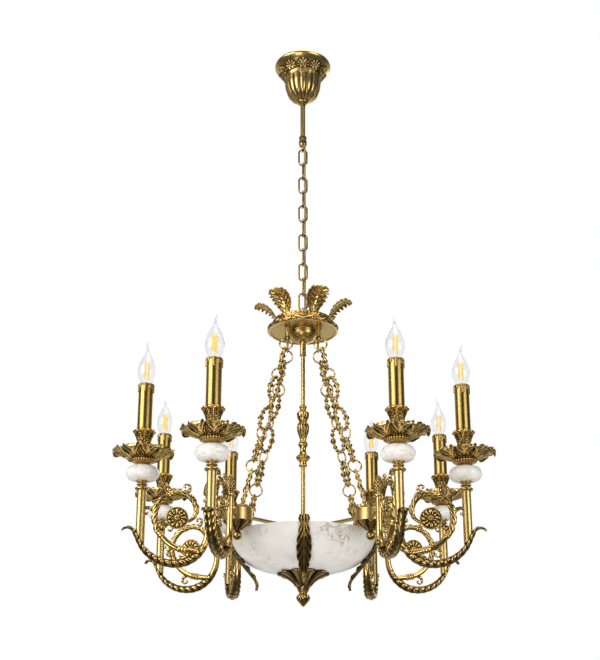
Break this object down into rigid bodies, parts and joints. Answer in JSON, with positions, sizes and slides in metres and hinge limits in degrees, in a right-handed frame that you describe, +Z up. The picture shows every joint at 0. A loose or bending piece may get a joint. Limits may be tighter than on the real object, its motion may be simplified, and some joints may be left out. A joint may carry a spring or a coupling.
{
  "type": "chandelier pendant light",
  "caption": "Cast brass chandelier on a link chain: scrolled candle arms with flame bulbs round an alabaster bowl, held by side chains from a leafed crown.",
  "frame": {"origin": "centre of the canopy and its bracket at the ceiling face", "axes": "+Z up into the ceiling, -Y towards the front, +X to the right seen from the front"},
  "size_m": [0.7076, 0.7076, 1.2024],
  "materials": {
    "cast_brass": "antique cast, dark in the recesses",
    "polished_brass": "polished and lacquered",
    "chain_bronze": "dark bronze patina",
    "alabaster": "honed, faintly translucent",
    "clear_glass": "clear",
    "amber_filament": "amber",
    "zinc_steel": "zinc plated",
    "terminal_plastic": "matte",
    "cord_fabric": "woven sleeve"
  },
  "bodies": {
    "ceiling_group": {"ceiling_bracket": "zinc_steel", "rod_nut": "zinc_steel", "terminal_block": "terminal_plastic", "canopy": "cast_brass", "canopy_collar": "polished_brass", "down_rod": "polished_brass", "rod_ferrule": "chain_bronze"},
    "chain_link_01": {"chain_link_01": "chain_bronze"},
    "chain_link_02": {"chain_link_02": "chain_bronze"},
    "chain_link_03": {"chain_link_03": "chain_bronze"},
    "chain_link_04": {"chain_link_04": "chain_bronze"},
    "chain_link_05": {"chain_link_05": "chain_bronze"},
    "chain_link_06": {"chain_link_06": "chain_bronze"},
    "chain_link_07": {"chain_link_07": "chain_bronze"},
    "chain_link_08": {"chain_link_08": "chain_bronze"},
    "chain_link_09": {"chain_link_09": "chain_bronze"},
    "chain_link_10": {"chain_link_10": "chain_bronze"},
    "chain_link_11": {"chain_link_11": "chain_bronze"},
    "fixture": {"alabaster_balls": "alabaster", "alabaster_bowl": "alabaster", "arm_branches": "cast_brass", "arm_nipples": "polished_brass", "arm_posts": "polished_brass", "baluster_cap": "cast_brass", "baluster_knop": "cast_brass", "baluster_vase": "cast_brass", "boss_balls": "polished_brass", "boss_drums": "polished_brass", "boss_pendants": "cast_brass", "bowl_finial": "cast_brass", "bowl_leaves": "cast_brass", "bulb_caps": "zinc_steel", "bulb_filaments": "amber_filament", "bulb_glasses": "clear_glass", "candle_cups": "cast_brass", "candle_sleeves": "polished_brass", "candle_tubes": "polished_brass", "chain_eyes": "polished_brass", "crown_cap": "cast_brass", "crown_dome": "cast_brass", "crown_leaves": "cast_brass", "crown_loop": "chain_bronze", "crown_ring": "cast_brass", "drip_pans": "cast_brass", "finial_plate": "cast_brass", "frame_hub": "cast_brass", "frame_spokes": "polished_brass", "lamp_holders": "terminal_plastic", "pan_cups": "cast_brass", "post_finials": "cast_brass", "rosettes": "cast_brass", "scroll_stems": "cast_brass", "side_chain_hooks": "polished_brass", "side_chain_links": "polished_brass", "side_chain_rings": "polished_brass", "stem_ferrule": "polished_brass", "stem_tubes": "polished_brass", "supply_cord": "cord_fabric", "tube_collars": "cast_brass"}
  },
  "joints": [
    {"name": "chain_swing_01", "type": "hinge", "parent": "ceiling_group", "child": "chain_link_01", "pos_m": [0, 0, -0.21505], "axis": [0, 1, 0], "range_deg": [-10, 10], "deforming": ["supply_cord"]},
    {"name": "chain_swing_02", "type": "hinge", "parent": "chain_link_01", "child": "chain_link_02", "pos_m": [0, 0, -0.24905], "axis": [1, 0, 0], "range_deg": [-10, 10], "deforming": ["supply_cord"]},
    {"name": "chain_swing_03", "type": "hinge", "parent": "chain_link_02", "child": "chain_link_03", "pos_m": [0, 0, -0.28305], "axis": [0, 1, 0], "range_deg": [-10, 10], "deforming": ["supply_cord"]},
    {"name": "chain_swing_04", "type": "hinge", "parent": "chain_link_03", "child": "chain_link_04", "pos_m": [0, 0, -0.31705], "axis": [1, 0, 0], "range_deg": [-10, 10], "deforming": ["supply_cord"]},
    {"name": "chain_swing_05", "type": "hinge", "parent": "chain_link_04", "child": "chain_link_05", "pos_m": [0, 0, -0.35105], "axis": [0, 1, 0], "range_deg": [-10, 10], "deforming": ["supply_cord"]},
    {"name": "chain_swing_06", "type": "hinge", "parent": "chain_link_05", "child": "chain_link_06", "pos_m": [0, 0, -0.38505], "axis": [1, 0, 0], "range_deg": [-10, 10], "deforming": ["supply_cord"]},
    {"name": "chain_swing_07", "type": "hinge", "parent": "chain_link_06", "child": "chain_link_07", "pos_m": [0, 0, -0.41905], "axis": [0, 1, 0], "range_deg": [-10, 10], "deforming": ["supply_cord"]},
    {"name": "chain_swing_08", "type": "hinge", "parent": "chain_link_07", "child": "chain_link_08", "pos_m": [0, 0, -0.45305], "axis": [1, 0, 0], "range_deg": [-10, 10], "deforming": ["supply_cord"]},
    {"name": "chain_swing_09", "type": "hinge", "parent": "chain_link_08", "child": "chain_link_09", "pos_m": [0, 0, -0.48705], "axis": [0, 1, 0], "range_deg": [-10, 10], "deforming": ["supply_cord"]},
    {"name": "chain_swing_10", "type": "hinge", "parent": "chain_link_09", "child": "chain_link_10", "pos_m": [0, 0, -0.52105], "axis": [1, 0, 0], "range_deg": [-10, 10], "deforming": ["supply_cord"]},
    {"name": "chain_swing_11", "type": "hinge", "parent": "chain_link_10", "child": "chain_link_11", "pos_m": [0, 0, -0.55505], "axis": [0, 1, 0], "range_deg": [-10, 10], "deforming": ["supply_cord"]},
    {"name": "chain_swing_12", "type": "hinge", "parent": "chain_link_11", "child": "fixture", "pos_m": [0, 0, -0.58905], "axis": [1, 0, 0], "range_deg": [-10, 10], "deforming": ["supply_cord"]}
  ]
}
